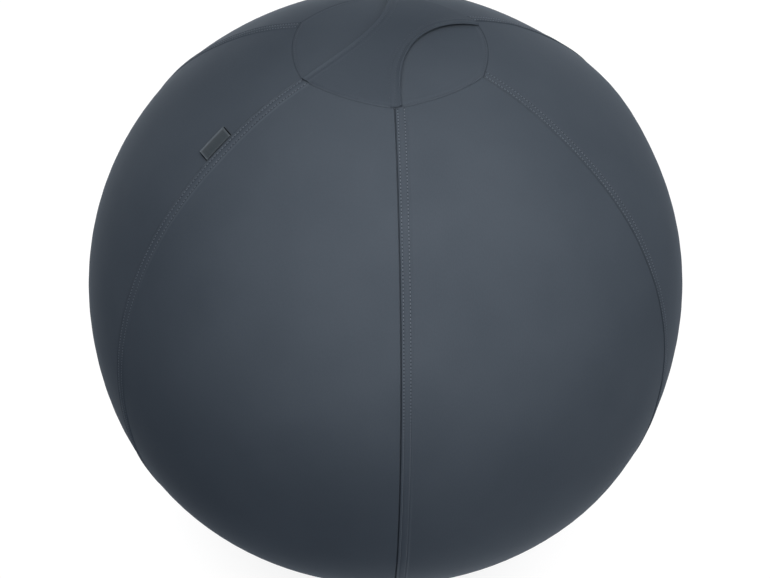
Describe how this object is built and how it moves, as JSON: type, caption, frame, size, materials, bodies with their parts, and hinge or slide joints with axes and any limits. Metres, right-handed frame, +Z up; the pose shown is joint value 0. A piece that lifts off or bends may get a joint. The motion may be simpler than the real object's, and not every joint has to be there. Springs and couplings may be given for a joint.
{
  "type": "sitting ball",
  "caption": "Round sitting ball: an inflated inner ball in a sewn fabric cover, with a strap handle over its round top cap and a zipped, weighted base panel.",
  "frame": {"origin": "on the floor, under the middle of the ball, at the centre of the base panel's flat contact patch", "axes": "+Z up; -Y to the front, where the front seam is; +X to the right seen from the front"},
  "size_m": [0.65, 0.65, 0.6511],
  "materials": {
    "cover_fabric": "matte",
    "base_fabric": "matte",
    "label_satin": "satin",
    "sleeve_cloth": "matte",
    "ballast_sand": "matte",
    "zip_tape": "matte",
    "zip_nylon": "satin",
    "zip_metal": "satin",
    "ball_vinyl": "satin",
    "valve_vinyl": "satin",
    "plug_plastic": "satin"
  },
  "bodies": {
    "ball": {"panel_front_right": "cover_fabric", "panel_right": "cover_fabric", "panel_back_right": "cover_fabric", "panel_back_left": "cover_fabric", "panel_left": "cover_fabric", "panel_front_left": "cover_fabric", "inner_ball": "ball_vinyl", "valve_seat": "valve_vinyl", "zip_tape_cover": "zip_tape", "zip_coil_cover": "zip_nylon", "zip_stop_left": "zip_metal", "zip_stop_right": "zip_metal"},
    "seat": {"top_cap": "cover_fabric"},
    "handle": {"carry_handle": "cover_fabric"},
    "label": {"label": "label_satin"},
    "base": {"base_panel": "base_fabric", "ballast_ring": "ballast_sand", "ballast_sleeve": "sleeve_cloth", "zip_tape_base": "zip_tape", "zip_coil_base": "zip_nylon"},
    "slider": {"zip_slider": "zip_metal"},
    "pull": {"zip_pull": "zip_metal"},
    "plug": {"valve_plug": "plug_plastic"}
  },
  "joints": [
    {"name": "seat_sink", "type": "slide", "parent": "ball", "child": "seat", "axis": [0, 0, -1], "range_m": [0, 0.09], "stiffness_N_per_m": 7500, "deforming": ["panel_front_right", "panel_right", "panel_back_right", "panel_back_left", "panel_left", "panel_front_left", "inner_ball"]},
    {"name": "handle_lift", "type": "slide", "parent": "seat", "child": "handle", "axis": [0, 0, 1], "range_m": [0, 0.025], "deforming": ["carry_handle"]},
    {"name": "label_flap", "type": "hinge", "parent": "seat", "child": "label", "pos_m": [-0.16697, -0.0964, 0.57938], "axis": [0.6975, 0.4027, 0.5927], "range_deg": [0, 90]},
    {"name": "base_flap", "type": "hinge", "parent": "ball", "child": "base", "pos_m": [0, 0.15, 0.02906], "axis": [1, 0, 0], "range_deg": [0, 80]},
    {"name": "zip_travel", "type": "hinge", "parent": "ball", "child": "slider", "pos_m": [0, 0, 0.02906], "axis": [0, 0, 1], "range_deg": [-320, 0]},
    {"name": "zip_pull", "type": "hinge", "parent": "slider", "child": "pull", "pos_m": [0.0517, 0.14204, 0.02684], "axis": [0.3034, 0.8336, 0.4615], "range_deg": [0, 150]},
    {"name": "plug_pull", "type": "slide", "parent": "ball", "child": "plug", "axis": [0, 0, -1], "range_m": [0, 0.011]}
  ],
  "couplings": [
    {"joint": "zip_travel", "follows": "base_flap", "ratio": -4}
  ]
}
